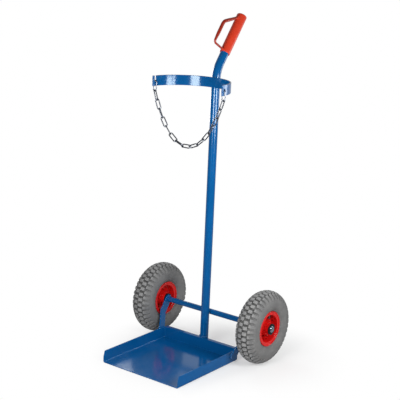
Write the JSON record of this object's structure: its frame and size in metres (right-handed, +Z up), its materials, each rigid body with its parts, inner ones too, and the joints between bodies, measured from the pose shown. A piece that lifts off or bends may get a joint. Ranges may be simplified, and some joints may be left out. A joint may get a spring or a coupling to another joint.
{
  "type": "gas cylinder trolley",
  "caption": "Upright hand trolley for a tall gas cylinder: foot tray, bent upright with guarded grip, half ring with safety chain, air-filled wheels on a fixed axle.",
  "frame": {"origin": "middle of the tray's underside, on the floor", "axes": "+Z up, front (open side of the tray) towards -Y, +X to the right seen from the front"},
  "size_m": [0.551, 0.5121, 1.1912],
  "materials": {
    "blue_paint": "glossy",
    "grip_plastic": "satin",
    "red_paint": "glossy",
    "zinc_steel": "bright zinc",
    "chain_zinc": "dull zinc",
    "roller_steel": "ground",
    "tyre_rubber": "matt",
    "tube_rubber": "matt",
    "black_plastic": "satin"
  },
  "bodies": {
    "frame": {"foot_tray": "blue_paint", "upright_tube": "blue_paint", "axle_bar": "blue_paint", "hand_grip": "grip_plastic", "retaining_ring": "blue_paint", "left_axle_strut": "blue_paint", "left_inner_washer": "black_plastic", "left_outer_washer": "black_plastic", "left_axle_cap": "zinc_steel", "right_axle_strut": "blue_paint", "right_inner_washer": "black_plastic", "right_outer_washer": "black_plastic", "right_axle_cap": "zinc_steel"},
    "left_wheel": {"left_tyre": "tyre_rubber", "left_inner_tube": "tube_rubber", "left_outer_rim": "red_paint", "left_inner_rim": "red_paint", "left_rim_bolts": "red_paint", "left_rim_nuts": "red_paint", "left_hub": "red_paint", "left_bearing_cages": "black_plastic", "left_bearing_rollers": "roller_steel", "left_valve_stem": "tube_rubber", "left_valve_cap": "black_plastic"},
    "right_wheel": {"right_tyre": "tyre_rubber", "right_inner_tube": "tube_rubber", "right_outer_rim": "red_paint", "right_inner_rim": "red_paint", "right_rim_bolts": "red_paint", "right_rim_nuts": "red_paint", "right_hub": "red_paint", "right_bearing_cages": "black_plastic", "right_bearing_rollers": "roller_steel", "right_valve_stem": "tube_rubber", "right_valve_cap": "black_plastic"},
    "chain": {"chain_link_1": "chain_zinc", "chain_link_2": "chain_zinc", "chain_link_3": "chain_zinc", "chain_link_4": "chain_zinc", "chain_link_5": "chain_zinc", "chain_link_6": "chain_zinc", "chain_link_7": "chain_zinc", "chain_link_8": "chain_zinc", "chain_link_9": "chain_zinc", "chain_link_10": "chain_zinc", "chain_link_11": "chain_zinc", "chain_link_12": "chain_zinc", "chain_link_13": "chain_zinc", "chain_link_14": "chain_zinc", "chain_link_15": "chain_zinc", "chain_link_16": "chain_zinc", "chain_link_17": "chain_zinc"}
  },
  "joints": [
    {"name": "left_wheel_spin", "type": "hinge", "parent": "frame", "child": "left_wheel", "pos_m": [-0.232, 0.2146, 0.13], "axis": [1, 0, 0], "continuous": true},
    {"name": "right_wheel_spin", "type": "hinge", "parent": "frame", "child": "right_wheel", "pos_m": [0.232, 0.2146, 0.13], "axis": [1, 0, 0], "continuous": true},
    {"name": "chain_swing", "type": "hinge", "parent": "frame", "child": "chain", "pos_m": [0, 0.03939, 0.96262], "axis": [-1, 0, 0], "range_deg": [-30, 90]}
  ]
}
